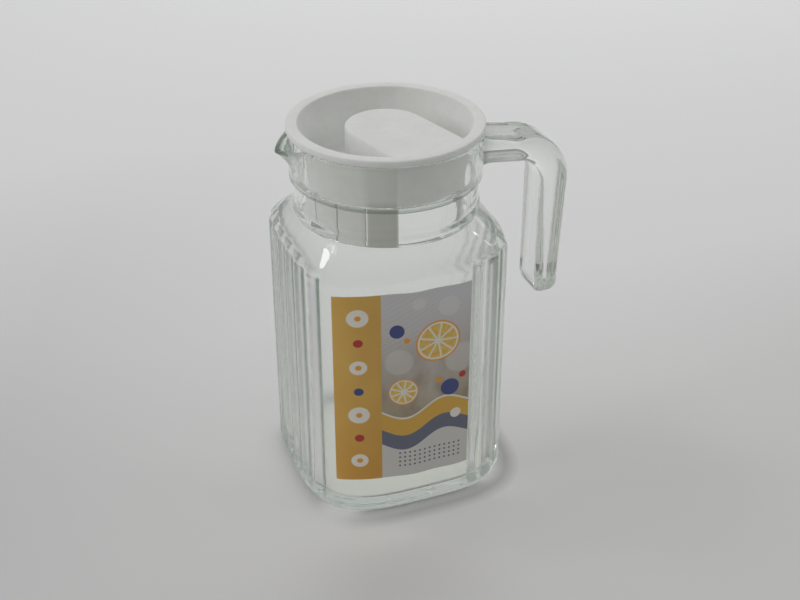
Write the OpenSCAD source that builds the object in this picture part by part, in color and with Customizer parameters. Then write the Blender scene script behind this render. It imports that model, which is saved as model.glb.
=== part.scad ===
// Glass jug with a turning lid. The body is a rounded square with upright flutes on both ends and a
// plain panel on the front and back. A shoulder leads to a round neck and a collar with a pouring
// spout, and the handle hangs from the collar with its lower end free.
// The origin is the middle of the base, on the surface that the jug stands on, and +Z is up.
// The handle points along +X, the spout along -X, and the label is on the front, at -Y.
// Lengths are in millimetres and angles in degrees.

/* [Glass body] */
// Width between the middles of two opposite sides
body_w = 100; // [92:1:110]
// How far the rounding brings each corner in from a sharp one, towards the axis
corner_in = 13.2; // [8:0.2:18]
// Height at which the flutes end and the shoulder starts
body_h = 124.5; // [95:0.5:150]
// Thickness of the side walls
wall = 4; // [3:0.25:6]
// Thickness of the glass at the bottom
base_t = 9; // [7:0.5:14]
// Height of the flat sided foot that the jug stands on
foot_h = 0.8; // [0.4:0.1:2]
// How far the foot is drawn in from the sides
heel_in = 3; // [1.5:0.5:6]
// Height at which the rounding of the heel ends
heel_h = 5; // [3:0.5:6.5]

/* [Flutes] */
// Depth of the valleys between the flutes
flute_depth = 1.5; // [0.5:0.1:2.2]
// Number of flutes on each end of the body
end_flutes = 6; // [4:2:10]
// Width of the plain surface between the flutes of the spout end and each corner
corner_plain = 5.6; // [3:0.1:9]
// Number of flutes that wrap round each corner on the handle side
wrap_flutes = 2; // [1:1:3]
// Place along the front where the plain panel ends
panel_edge = 23; // [10:1:28]
// Width of the step between the plain panel and the flutes
panel_step = 1.2; // [0.6:0.1:2]

/* [Shoulder and neck] */
// Height of the sloping shoulder
shoulder_h = 11; // [8:0.5:18]
// Outer radius of the neck
neck_r = 41.5; // [39.5:0.5:43]
// Thickness of the neck wall
neck_wall = 4; // [3:0.25:5]
// Height of the neck above the shoulder
neck_h = 16.5; // [10:0.5:24]
// Height of the bead round the foot of the neck
bead_h = 6; // [3:0.5:8]
// How far the bead stands out of the neck
bead_out = 1.6; // [0.8:0.1:2.5]

/* [Collar and spout] */
// Outer radius of the collar
collar_r = 43.4; // [43:0.1:45.5]
// Thickness of the collar wall
collar_wall = 3; // [2:0.1:3.2]
// Height of the collar
collar_h = 21.8; // [20:0.2:32]
// Thickness of the ledge inside the foot of the collar
ledge_t = 1.6; // [1:0.1:3.4]
// Distance from the axis to the tip of the spout
spout_reach = 50.6; // [47:0.2:58]
// Half of the angle that the spout takes of the collar
spout_half_angle = 20; // [14:1:32]
// How far the tip of the spout dips below the rim
spout_dip = 3; // [0:0.2:4]

/* [Handle] */
// Width of the handle across the hand
handle_w = 22.5; // [15:0.5:26]
// Thickness of the handle at the collar
handle_root_t = 13.8; // [12:0.1:14]
// Thickness of the handle where its arm meets the bend
handle_t = 12.8; // [10:0.1:13.5]
// Thickness of the handle just below the bend
handle_leg_t = 14.4; // [11:0.1:16]
// Thickness of the handle just above its free end
handle_tip_t = 12; // [8:0.5:14]
// Distance from the axis to the inside of the handle
handle_inside = 73.2; // [68:0.2:90]
// Distance from the rim of the glass down to the top of the arm at the bend
handle_drop = 10.9; // [9:0.1:11]
// How far the middle of the arm falls on its way from the collar to the bend
arm_fall = 2.6; // [0:0.1:3.5]
// Radius of the inside of the bend
bend_inside_r = 11.5; // [6:0.5:16]
// Height of the free end above the base
handle_end_h = 75.5; // [50:0.5:95]
// Height of the rounding at the free end
handle_round_h = 8; // [4:0.5:12]

/* [Label] */
// How far the side edges of the label stay inside the plain panel
label_inset = 0.3; // [0.2:0.1:8]
// Height of the lower edge of the label
label_bottom = 19.7; // [14:0.1:40]
// Height of the label itself
label_h = 98.7; // [60:0.1:98.8]
// Thickness of the label
label_t = 0.3; // [0.2:0.05:0.6]

/* [Lid] */
// Outer radius of the flange that covers the glass rim
flange_r = 44; // [43.6:0.1:47]
// Thickness of the flange
flange_t = 3; // [2:0.1:4]
// Rounding of the outer edges of the flange
flange_round = 1.1; // [0.5:0.1:1.4]
// Radius at the top edge of the recess in the lid
recess_r = 38.8; // [38:0.1:39]
// Radius at the floor of the recess
recess_floor_r = 33.6; // [32:0.1:33.8]
// Depth of the recess
recess_depth = 21.5; // [18:0.5:22]
// Thickness of the lid's walls
lid_wall = 1.6; // [1:0.1:2]
// Width of the grip that stands in the recess
grip_w = 36; // [26:0.5:42]
// How far the top of the grip lies below the top of the flange
grip_below = 2.2; // [0.5:0.1:5]
// Direction of the grip and the pouring window, turned from the handle
grip_angle = -74; // [-180:1:180]

/* [Strainer] */
// Length that the strainer hangs below the lid
strainer_h = 20.5; // [12:0.5:26]
// Height of the band that holds the strainer's fingers
band_h = 2.2; // [1.5:0.1:4]
// Angle of the window that pours without straining
window_angle = 56; // [30:1:90]
// Number of fingers round the strainer
fingers = 14; // [8:1:20]
// Width of the slits between the fingers
slit_w = 0.8; // [0.5:0.1:2]

/* [Clearances] */
// Gap between the turning lid and its flange
turn_gap = 0.3; // [0.2:0.05:0.5]
// Gap between the lid and the glass rim that it rests on
seat_gap = 0.2; // [0:0.05:0.4]
// Gap between curved faces of one moulding that meet, and behind the label
join_gap = 0.05; // [0.02:0.01:0.1]

/* [Hidden] */
// Smoothness of round pieces
$fn = 96;
// Extra length of a cutting shape past the face that it cuts
over = 1;
// A quarter of a full turn
quarter_turn = 90;

// Distance from the axis to a rounded corner, and the squareness of the outline that reaches it
half_w = body_w / 2;
corner_reach = half_w * sqrt(2) - corner_in;
squareness = 1 / (0.5 - ln(corner_reach / half_w) / ln(2));
// Place along a side at which it meets the next one, in the middle of the rounded corner
corner_t = corner_reach / sqrt(2);
// Place across the spout end where its flutes stop
end_edge = corner_t - corner_plain;
spout_end_pitch = 2 * end_edge / end_flutes;
handle_end_pitch = 2 * corner_t / end_flutes;
wrap_pitch = (corner_t - panel_edge) / wrap_flutes;
// Numbers of straight facets: on one flute, on a quarter of the plain outline, on the plain panel
// and on the plain surface that leads round the corner to it
flute_facets = 6;
quarter_facets = 16;
panel_facets = 20;
corner_facets = 3;

shoulder_top = body_h + shoulder_h;
neck_top = shoulder_top + neck_h;
rim_z = neck_top + collar_h;
neck_in_r = neck_r - neck_wall;
collar_in_r = collar_r - collar_wall;
ledge_top = neck_top + ledge_t;

// Shares of the shoulder's height at which its slope has a ring of points
shoulder_shares = [0, 0.08, 0.3, 0.55, 0.8, 1];
// Share of the shoulder's slope that is a soft curve and not a straight cone
soft_share = 0.1;
// Shares of the quarter turn at which the heel has a ring of points
heel_shares = [0, 0.25, 0.5, 0.75, 1];

spout_out = spout_reach - collar_r;
spout_h = rim_z - ledge_top;
// Numbers of facets across and up the spout, the angle that rounds its tip and the power that flares it
spout_facets = 16;
spout_levels = 8;
spout_blunt = 3;
spout_flare_power = 2.8;

handle_top = rim_z - handle_drop;
arm_z = handle_top - handle_t / 2;
bend_x = handle_inside - bend_inside_r;
bend_z = handle_top - handle_t - bend_inside_r;
leg_bottom = handle_end_h + handle_round_h;
// The arm starts inside the collar and is cut to meet it
arm_start = collar_in_r;
// Facets round the handle's section and round its bend, and the section's squareness
section_facets = 20;
bend_facets = 10;
section_power = 5;
// Angles at which the rounded free end has a ring of points
end_angles = [0, 25, 50, 70, 82];

lid_top = rim_z + seat_gap + flange_t;
recess_floor = lid_top - recess_depth;
plug_bottom = recess_floor - lid_wall;
cone_slope = (recess_r - recess_floor_r) / recess_depth;
plug_foot_r = recess_floor_r + lid_wall + join_gap;
plug_top_r = recess_r + lid_wall;
grip_top = lid_top - grip_below;
grip_r = grip_w / 2;
strainer_bottom = plug_bottom - strainer_h;
strainer_in_r = plug_foot_r - lid_wall;
finger_pitch = (360 - window_angle) / fingers;
label_left = label_inset - corner_t;
label_right = panel_edge - panel_step - label_inset;
label_steps = 24;

// Distance of the body's outline from the axis, square to a side, at place t along that side
function bow(t) = half_w * pow(1 - pow(abs(t) / half_w, squareness), 1 / squareness);

// Point of the outline on the side that faces angle a, moved inwards by depth, square to the outline
function side_point(a, t, depth) =
    let (d = bow(t),
         slope = [pow(d, squareness - 1), sign(t) * pow(abs(t), squareness - 1)],
         p = [d, t] - depth * slope / norm(slope))
    [p[0] * cos(a) - p[1] * sin(a), p[0] * sin(a) + p[1] * cos(a)];

// Outline without flutes, moved inwards by depth. Points lie closer together near the corners.
function plain_outline(depth) =
    [for (side = [0 : 3]) for (k = [0 : quarter_facets - 1])
        side_point(quarter_turn * side,
                   corner_t * sin(quarter_turn * (2 * k / quarter_facets - 1)), depth)];

// Depth of a flute's surface below the outline, for a place counted in flutes
function flute_depth_at(count) = flute_depth * pow(2 * (count - floor(count)) - 1, 2);

// Front half of the fluted outline, from the middle of the spout end to the middle of the handle end
function spout_end_points() =
    [for (k = [0 : end_flutes / 2 * flute_facets])
        side_point(180, k * spout_end_pitch / flute_facets, flute_depth_at(k / flute_facets))];
function corner_points() =
    let (from = end_edge + panel_step)
    [for (k = [0 : corner_facets - 1]) side_point(180, from + (corner_t - from) * k / corner_facets, 0)];
function panel_points() =
    let (from = -corner_t, to = panel_edge - panel_step)
    [for (k = [0 : panel_facets]) side_point(-90, from + (to - from) * k / panel_facets, 0)];
function wrap_points() =
    [for (k = [0 : wrap_flutes * flute_facets - 1])
        side_point(-90, panel_edge + k * wrap_pitch / flute_facets, flute_depth_at(k / flute_facets))];
function handle_end_points() =
    [for (k = [0 : end_flutes / 2 * flute_facets])
        side_point(0, k * handle_end_pitch / flute_facets - corner_t, flute_depth_at(k / flute_facets))];
function front_half() =
    concat(spout_end_points(), corner_points(), panel_points(), wrap_points(), handle_end_points());
function fluted_outline() =
    let (half = front_half())
    concat(half, [for (k = [len(half) - 2 : -1 : 1]) [half[k][0], -half[k][1]]]);

// Outline at height z as points in space
function lifted(points, z) = [for (p = points) [p[0], p[1], z]];

// Share of the way from the neck out to the body at a share of the shoulder's height
function shoulder_share(s) = 1 - (1 - soft_share) * s - soft_share * s * s * (3 - 2 * s);
// Ring of the shoulder, between the body's outline and a circle of radius r
function shoulder_ring(depth, r, s) =
    let (w = shoulder_share(s))
    [for (p = plain_outline(depth))
        let (q = w * p + (1 - w) * r * p / norm(p)) [q[0], q[1], body_h + s * shoulder_h]];

// Surfaces between rings of points, counted anticlockwise as seen from where the rings lead to
function loft_faces(rings, count) =
    [for (i = [0 : rings - 2]) for (j = [0 : count - 1])
        let (a = i * count + j, b = i * count + (j + 1) % count)
        each [[a, a + count, b + count], [a, b + count, b]]];
// Flat end made of strips that join each point of a ring to the one opposite it
function end_faces(first, count, flip) =
    [for (j = [0 : count / 2 - 2])
        let (a = first + j, b = a + 1, d = first + count - 1 - j, c = d - 1)
        each (flip ? [[c, b, a], [d, c, a]] : [[a, b, c], [a, c, d]])];
// Solid through rings, with flat ends
module capped_loft(rings) {
    count = len(rings[0]);
    last = (len(rings) - 1) * count;
    polyhedron(points = [for (ring = rings) each ring],
               faces = concat(loft_faces(len(rings), count),
                              end_faces(0, count, false), end_faces(last, count, true)));
}
// Tube through rings: up the outside, down the inside and closed back to the first ring
module closed_loft(rings) {
    count = len(rings[0]);
    last = (len(rings) - 1) * count;
    polyhedron(points = [for (ring = rings) each ring],
               faces = concat(loft_faces(len(rings), count),
                              [for (j = [0 : count - 1])
                                  let (k = (j + 1) % count)
                                  each [[last + j, j, k], [last + j, k, last + k]]]));
}

// Ring with a radius r_out outside and r_in inside, from z0 to z1
module ring(r_out, r_in, z0, z1) {
    translate([0, 0, z0])
        difference() {
            cylinder(r = r_out, h = z1 - z0);
            translate([0, 0, -over]) cylinder(r = r_in, h = z1 - z0 + 2 * over);
        }
}

module glass() {
    color([0.80, 0.89, 0.85, 0.6]) children();
}
module white_plastic() {
    color([0.93, 0.93, 0.92]) children();
}

// Thick bottom: a straight foot under a rounded heel
module jug_base() {
    heel = [for (s = heel_shares)
        lifted(plain_outline(heel_in * (1 - sin(quarter_turn * s))),
               foot_h + (heel_h - foot_h) * (1 - cos(quarter_turn * s)))];
    glass() capped_loft(concat([lifted(plain_outline(heel_in), 0)], heel, [lifted(plain_outline(0), base_t)]));
}

// Upright walls, fluted outside and plain inside
module jug_walls() {
    glass()
        translate([0, 0, base_t])
            linear_extrude(height = body_h - base_t)
                difference() {
                    polygon(fluted_outline());
                    polygon(plain_outline(wall));
                }
}

// Shoulder that turns the rounded square into a circle
module jug_shoulder() {
    glass()
        closed_loft(concat(
            [for (s = shoulder_shares) shoulder_ring(0, neck_r, s)],
            [for (k = [len(shoulder_shares) - 1 : -1 : 0]) shoulder_ring(wall, neck_in_r, shoulder_shares[k])]));
}

// Round neck with a bead round its foot
module jug_neck() {
    glass()
        difference() {
            union() {
                translate([0, 0, shoulder_top]) cylinder(r = neck_r, h = neck_h);
                translate([0, 0, shoulder_top + bead_h / 2])
                    rotate_extrude()
                        translate([neck_r + bead_out - bead_h / 2, 0]) circle(r = bead_h / 2);
            }
            translate([0, 0, shoulder_top - over]) cylinder(r = neck_in_r, h = neck_h + 2 * over);
        }
}

// Collar with a ledge at its foot. Its wall leaves room for the spout.
module jug_collar() {
    glass()
        difference() {
            rotate_extrude() collar_section();
            translate([0, 0, ledge_top])
                rotate([0, 0, 180 - spout_half_angle])
                    rotate_extrude(angle = 2 * spout_half_angle)
                        square([collar_r + over, spout_h + over]);
        }
}
// Section of the collar, rounded at the rim
module collar_section() {
    rim_round = collar_wall / 2;
    translate([neck_in_r, neck_top]) square([collar_r - neck_in_r, ledge_t]);
    translate([collar_in_r, neck_top]) square([collar_wall, collar_h - rim_round]);
    translate([collar_in_r + rim_round, rim_z - rim_round]) circle(r = rim_round);
}

// Spout: the collar's wall drawn out to a point that flares towards the rim
function spout_off(a) = sqrt(a * a + spout_blunt * spout_blunt) - spout_blunt;
function spout_share(a) = 1 - spout_off(a) / spout_off(spout_half_angle);
function spout_point(a, r, up) =
    let (out = spout_out * spout_share(a),
         reach = r + out * pow(up, spout_flare_power),
         z = ledge_top + up * (spout_h - spout_dip * spout_share(a)))
    [-reach * cos(a), -reach * sin(a), z];
module jug_spout() {
    glass()
        capped_loft([for (i = [0 : spout_facets])
            let (a = spout_half_angle * (2 * i / spout_facets - 1))
            concat([for (k = [0 : spout_levels]) spout_point(a, collar_in_r, k / spout_levels)],
                   [for (k = [spout_levels : -1 : 0]) spout_point(a, collar_r, k / spout_levels)])]);
}

// Handle: a bar with rounded edges that leaves the collar, bends down and ends free
function section_ring(x, z, turn, half_t, half_width) =
    [for (k = [0 : section_facets - 1])
        let (a = 360 * k / section_facets,
             across = half_width * sign(cos(a)) * pow(abs(cos(a)), 2 / section_power),
             out = half_t * sign(sin(a)) * pow(abs(sin(a)), 2 / section_power))
        [x + out * sin(turn), across, z + out * cos(turn)]];
module jug_handle() {
    half_width = handle_w / 2;
    half_tip = handle_tip_t / 2;
    arm = [section_ring(arm_start, arm_z + arm_fall, 0, handle_root_t / 2, half_width),
           section_ring(bend_x, arm_z, 0, handle_t / 2, half_width)];
    bend = [for (k = [1 : bend_facets])
        let (turn = quarter_turn * k / bend_facets,
             half_t = (handle_t + (handle_leg_t - handle_t) * k / bend_facets) / 2,
             bend_r = bend_inside_r + half_t)
        section_ring(bend_x + bend_r * sin(turn), bend_z + bend_r * cos(turn), turn, half_t, half_width)];
    end = [for (a = end_angles)
        section_ring(handle_inside + half_tip, leg_bottom - handle_round_h * sin(a), quarter_turn,
                     half_tip * cos(a), half_width * cos(a))];
    glass()
        difference() {
            capped_loft(concat(arm, bend, end));
            translate([0, 0, shoulder_top]) cylinder(r = collar_r, h = rim_z - shoulder_top);
        }
}

// Paper label, bent to the front panel
module label() {
    function label_points(depth) =
        [for (k = [0 : label_steps])
            side_point(-90, label_left + (label_right - label_left) * k / label_steps, depth)];
    inner = label_points(-join_gap);
    outer = label_points(-join_gap - label_t);
    color([0.85, 0.62, 0.22])
        translate([0, 0, label_bottom])
            linear_extrude(height = label_h)
                polygon(concat(outer, [for (k = [label_steps : -1 : 0]) inner[k]]));
}

// Flange of the lid, which rests on the glass rim
module lid_rim() {
    inner_r = plug_top_r + turn_gap;
    width = flange_r - inner_r;
    white_plastic()
        translate([0, 0, lid_top - flange_t])
            rotate_extrude()
                translate([inner_r, 0]) {
                    square([width - flange_round, flange_t]);
                    translate([0, flange_round]) square([width, flange_t - 2 * flange_round]);
                    for (z = [flange_round, flange_t - flange_round])
                        translate([width - flange_round, z]) circle(r = flange_round);
                }
}

// Outline of the grip seen from above, drawn in by depth
module grip_outline(depth) {
    circle(r = grip_r - depth);
    translate([0, depth - grip_r]) square([flange_r, grip_w - 2 * depth]);
}
// Space inside the cone of the recess, smaller by gap all round
module recess_cone(gap) {
    translate([0, 0, recess_floor])
        cylinder(r1 = recess_floor_r - gap, r2 = recess_r - gap, h = recess_depth);
}

// Bowl of the lid: a conical wall and a floor, open under the grip
module lid_bowl() {
    white_plastic()
        difference() {
            translate([0, 0, plug_bottom])
                cylinder(r1 = plug_foot_r, r2 = plug_top_r, h = lid_top - plug_bottom);
            recess_cone(0);
            translate([0, 0, lid_top - over])
                cylinder(r1 = recess_r - over * cone_slope, r2 = recess_r + over * cone_slope, h = 2 * over);
            intersection() {
                rotate([0, 0, grip_angle])
                    translate([0, 0, plug_bottom - over])
                        linear_extrude(height = lid_wall + 2 * over) grip_outline(lid_wall);
                translate([0, 0, plug_bottom - over])
                    cylinder(r = strainer_in_r - lid_wall, h = lid_wall + 2 * over);
            }
        }
}

// Grip: a hollow block with one round end, which runs out to the bowl's wall
module lid_grip() {
    white_plastic()
        intersection() {
            rotate([0, 0, grip_angle])
                translate([0, 0, recess_floor])
                    difference() {
                        linear_extrude(height = grip_top - recess_floor) grip_outline(0);
                        translate([0, 0, -over])
                            linear_extrude(height = grip_top - recess_floor - lid_wall + over)
                                grip_outline(lid_wall);
                    }
            recess_cone(join_gap);
        }
}

// Strainer: a band under the bowl with fingers that hang from it round all but the window
module lid_strainer() {
    white_plastic()
        difference() {
            ring(plug_foot_r, strainer_in_r, strainer_bottom, plug_bottom);
            rotate([0, 0, grip_angle - window_angle / 2])
                translate([0, 0, strainer_bottom - over])
                    rotate_extrude(angle = window_angle)
                        square([plug_foot_r + over, strainer_h - band_h + over]);
            for (k = [1 : fingers - 1])
                rotate([0, 0, grip_angle + window_angle / 2 + k * finger_pitch])
                    translate([0, -slit_w / 2, strainer_bottom - over])
                        cube([plug_foot_r + over, slit_w, strainer_h - band_h + over]);
        }
}

jug_base();
jug_walls();
jug_shoulder();
jug_neck();
jug_collar();
jug_spout();
jug_handle();
label();
lid_rim();
lid_bowl();
lid_grip();
lid_strainer();
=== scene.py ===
import math

import bpy
import numpy as np
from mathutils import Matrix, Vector


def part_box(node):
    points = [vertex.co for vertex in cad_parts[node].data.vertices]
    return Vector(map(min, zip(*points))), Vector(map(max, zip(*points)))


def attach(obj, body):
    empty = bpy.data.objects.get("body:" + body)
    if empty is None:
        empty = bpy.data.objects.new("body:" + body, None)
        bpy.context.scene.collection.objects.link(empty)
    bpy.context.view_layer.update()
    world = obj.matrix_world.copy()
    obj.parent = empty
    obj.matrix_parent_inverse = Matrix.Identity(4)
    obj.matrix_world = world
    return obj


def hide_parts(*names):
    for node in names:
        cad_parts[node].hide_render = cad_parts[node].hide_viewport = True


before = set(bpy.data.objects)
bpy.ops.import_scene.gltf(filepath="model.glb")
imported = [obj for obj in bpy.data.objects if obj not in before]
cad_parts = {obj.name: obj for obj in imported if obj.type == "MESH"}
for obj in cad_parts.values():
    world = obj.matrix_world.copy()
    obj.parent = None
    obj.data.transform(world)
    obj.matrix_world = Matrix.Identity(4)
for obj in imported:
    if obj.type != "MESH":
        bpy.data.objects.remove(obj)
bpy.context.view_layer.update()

MM = 0.001

# Places that the construction gives
walls_low, walls_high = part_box("jug_walls")
neck_low, neck_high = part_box("jug_neck")
collar_low, collar_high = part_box("jug_collar")
spout_low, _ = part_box("jug_spout")
handle_low, handle_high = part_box("jug_handle")
label_low, label_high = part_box("label")
_, flange_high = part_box("lid_rim")
bowl_low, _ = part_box("lid_bowl")
grip_low, grip_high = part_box("lid_grip")
strainer_low, strainer_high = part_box("lid_strainer")

# The body's outline from above is |x|^n + |y|^n = half width^n, with n = SQUARENESS. Its corners
# reach out from the middle by CORNER_REACH and lie at x and y of CORNER.
HALF_WIDTH = walls_high.y
CORNER_REACH = HALF_WIDTH * math.sqrt(2) - 13.2 * MM
SQUARENESS = 1 / (0.5 - math.log2(CORNER_REACH / HALF_WIDTH))
CORNER = CORNER_REACH / math.sqrt(2)
FLUTE_TOP = walls_high.z
BASE_TOP = walls_low.z
RIM = collar_high.z

# Glass, as the construction has it
WALL = 4 * MM
FOOT_HEIGHT = 0.8 * MM
HEEL_IN = 3 * MM
HEEL_HEIGHT = 5 * MM
FLUTE_DEPTH = 1.5 * MM
END_FLUTES = 6
WRAP_FLUTES = 2
PANEL_EDGE = 23 * MM
PANEL_STEP = 1.2 * MM
LEDGE_DEPTH = 0.6 * MM
END_EDGE = CORNER - 5.6 * MM
NECK_RADIUS = 41.5 * MM
NECK_WALL = 4 * MM
NECK_INSIDE = NECK_RADIUS - NECK_WALL
BEAD_HEIGHT = 6 * MM
COLLAR_WALL = 3 * MM
COLLAR_RADIUS = collar_high.y
LEDGE_TOP = spout_low.z
SPOUT_HALF_ANGLE = math.radians(20)
SPOUT_BLUNT = math.radians(3)
SPOUT_FLARE = 2.8
SPOUT_DIP = 3 * MM
PUSHED_UP = 1.6 * MM
INNER_FLOOR = BASE_TOP - 2.8 * MM
INNER_ROUND = 4 * MM

# How green the glass looks in its thick places, from 0 for clear to 1
HEEL_GREEN = 0.6
COLLAR_FOOT_GREEN = 0.72
FLOOR_EDGE_GREEN = 0.3
SPOUT_GREEN = 0.9
HANDLE_TIP_GREEN = 0.9
# Darkness of the painted shade on the handle's outer front corner, from 0 for none to 1
HANDLE_CORNER_SHADE = 0.2

# Handle
HANDLE_HALF_WIDTH = handle_high.y
HANDLE_TOP = RIM - 10.9 * MM
HANDLE_ROOT_THICK = 13.8 * MM
HANDLE_THICK = 12.8 * MM
HANDLE_LEG_THICK = 14.4 * MM
HANDLE_TIP_THICK = 12 * MM
HANDLE_INSIDE = 73.2 * MM
ARM_FALL = 2.6 * MM
BEND_INSIDE = 11.5 * MM
END_ROUND = 8 * MM
HANDLE_CORNER = 4.2 * MM
CORNER_POINTS = 12

# Lid
LID_TOP = flange_high.z
FLANGE_RADIUS = flange_high.y
FLANGE_THICK = 3 * MM
RECESS_RADIUS = 38.8 * MM
RECESS_FLOOR_RADIUS = 33.6 * MM
RECESS_FLOOR = grip_low.z
LID_WALL = 1.6 * MM
PLUG_BOTTOM = bowl_low.z
PLUG_FOOT = strainer_high.y
GRIP_RADIUS = 18 * MM
GRIP_TOP = grip_high.z
GRIP_ANGLE = math.radians(-74)
WINDOW_ANGLE = math.radians(56)
FINGERS = 14
SLIT = 0.8 * MM
BAND = 2.2 * MM

# Label, seen from the front
LABEL_LEFT = 0.3 * MM - CORNER
LABEL_RIGHT = PANEL_EDGE - PANEL_STEP - 0.3 * MM

# Camera, found from the photograph: its place is given from the middle of the jug's base, along the
# view's own heading and beside it
CAMERA_SIDE = 6.33 * MM
CAMERA_BACK = 537.38 * MM
CAMERA_HEIGHT = 406.25 * MM
CAMERA_TILT = math.radians(30.88)
CAMERA_TURN = math.radians(21)
CAMERA_LENS = 59.55


def add_mesh(name, points, faces, smooth_angle=35):
    """Object with a mesh of those points and faces. Edges sharper than smooth_angle stay sharp."""
    mesh = bpy.data.meshes.new(name)
    mesh.from_pydata(np.asarray(points).tolist(), [], faces)
    mesh.validate()
    piece = bpy.data.objects.new(name, mesh)
    bpy.context.scene.collection.objects.link(piece)
    shade(piece, smooth_angle)
    return piece


def shade(piece, smooth_angle):
    """Smooth shading, with the edges sharper than smooth_angle kept sharp."""
    mesh = piece.data
    mesh.polygons.foreach_set("use_smooth", [True] * len(mesh.polygons))
    mesh.set_sharp_from_angle(angle=math.radians(smooth_angle))


def ring_faces(rings, around, loop=False):
    """Quads between rings of points: point j of ring i has the number i * around + j. The rings run
    anticlockwise, seen from where they lead to."""
    i = np.arange(rings if loop else rings - 1)[:, None]
    j = np.arange(around)[None, :]
    here, following, beside = i * around, (i + 1) % rings * around, (j + 1) % around
    corners = [here + j, here + beside, following + beside, following + j]
    return np.stack(np.broadcast_arrays(*corners), -1).reshape(-1, 4).tolist()


def closed_skin(name, rings, smooth_angle=35, loop=False):
    """Solid whose skin runs through rings, an array of rings by points by 3. Without loop, each end
    closes in a fan round the middle of its ring."""
    count, around = rings.shape[:2]
    points = rings.reshape(-1, 3)
    faces = ring_faces(count, around, loop)
    if not loop:
        start, end = len(points), len(points) + 1
        points = np.vstack([points, rings[0].mean(0), rings[-1].mean(0)])
        last = (count - 1) * around
        for j in range(around):
            k = (j + 1) % around
            faces.append([start, k, j])
            faces.append([end, last + j, last + k])
    return add_mesh(name, points, faces, smooth_angle)


def combine(piece, other, how):
    """Joins other to piece, cuts it away or keeps what both share, and removes other."""
    change = piece.modifiers.new("combine", "BOOLEAN")
    change.operation = how
    change.solver = "MANIFOLD"
    change.object = other
    bpy.context.view_layer.update()
    seen = piece.evaluated_get(bpy.context.evaluated_depsgraph_get())
    mesh = bpy.data.meshes.new_from_object(seen)
    old = piece.data
    piece.modifiers.clear()
    piece.data = mesh
    mesh.name = piece.name
    bpy.data.meshes.remove(old)
    used = other.data
    bpy.data.objects.remove(other)
    bpy.data.meshes.remove(used)
    return piece


def fillet_path(corners, steps=5):
    """Path of (r, z) points through corners given as (r, z, radius). Each corner is rounded by a
    quadratic curve between the two points that lie a radius away from it along its sides."""
    path = []
    for i, (r, z, radius) in enumerate(corners):
        here = np.array([r, z])
        if radius == 0 or i in (0, len(corners) - 1):
            path.append(here)
            continue
        before, after = np.array(corners[i - 1][:2]), np.array(corners[i + 1][:2])
        start = here + (before - here) * radius / np.linalg.norm(before - here)
        stop = here + (after - here) * radius / np.linalg.norm(after - here)
        for s in np.linspace(0, 1, steps):
            path.append((1 - s) ** 2 * start + 2 * s * (1 - s) * here + s * s * stop)
    return np.array(path)


def note(piece, name, values):
    """Keeps a value for each point of a closed skin on its mesh, for its surface to read."""
    layer = piece.data.attributes.new(name, "FLOAT", "POINT")
    layer.data.foreach_set("value", np.append(values.ravel(), [0, 0]))


def lathe(name, path, around=192, loop=False, smooth_angle=35):
    """Solid of revolution round the upright axis: each (r, z) of the path becomes a circle of
    points (r cos a, r sin a, z)."""
    turn = np.linspace(0, 2 * math.pi, around, endpoint=False)
    r, z = path[:, 0, None], path[:, 1, None]
    rings = np.stack([r * np.cos(turn), r * np.sin(turn), z + 0 * turn], -1)
    return closed_skin(name, rings, smooth_angle, loop)


def prism(name, outline, levels):
    """Upright solid: outline is an array of (x, y) or a list of such, one for each level."""
    outlines = np.broadcast_to(outline, (len(levels),) + np.shape(outline)[-2:])
    heights = np.broadcast_to(np.array(levels)[:, None, None], outlines.shape[:2] + (1,))
    return closed_skin(name, np.concatenate([outlines, heights], -1))


def side_points(side, t, depth=0.0):
    """Points of the body's outline on the side that faces the angle side, at places t along it.

    The outline is |x|^n + |y|^n = half width^n. Each point is then moved inwards by depth, square
    to the outline. Returns the points and the outward directions."""
    t = np.asarray(t, float)
    out = (HALF_WIDTH ** SQUARENESS - np.abs(t) ** SQUARENESS) ** (1 / SQUARENESS)
    slope = np.stack([out ** (SQUARENESS - 1), np.sign(t) * np.abs(t) ** (SQUARENESS - 1)], -1)
    slope /= np.linalg.norm(slope, axis=-1, keepdims=True)
    point = np.stack([out, t], -1) - np.asarray(depth)[..., None] * slope
    turn = np.array([[np.cos(side), np.sin(side)], [-np.sin(side), np.cos(side)]])
    return point @ turn, slope @ turn


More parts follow.
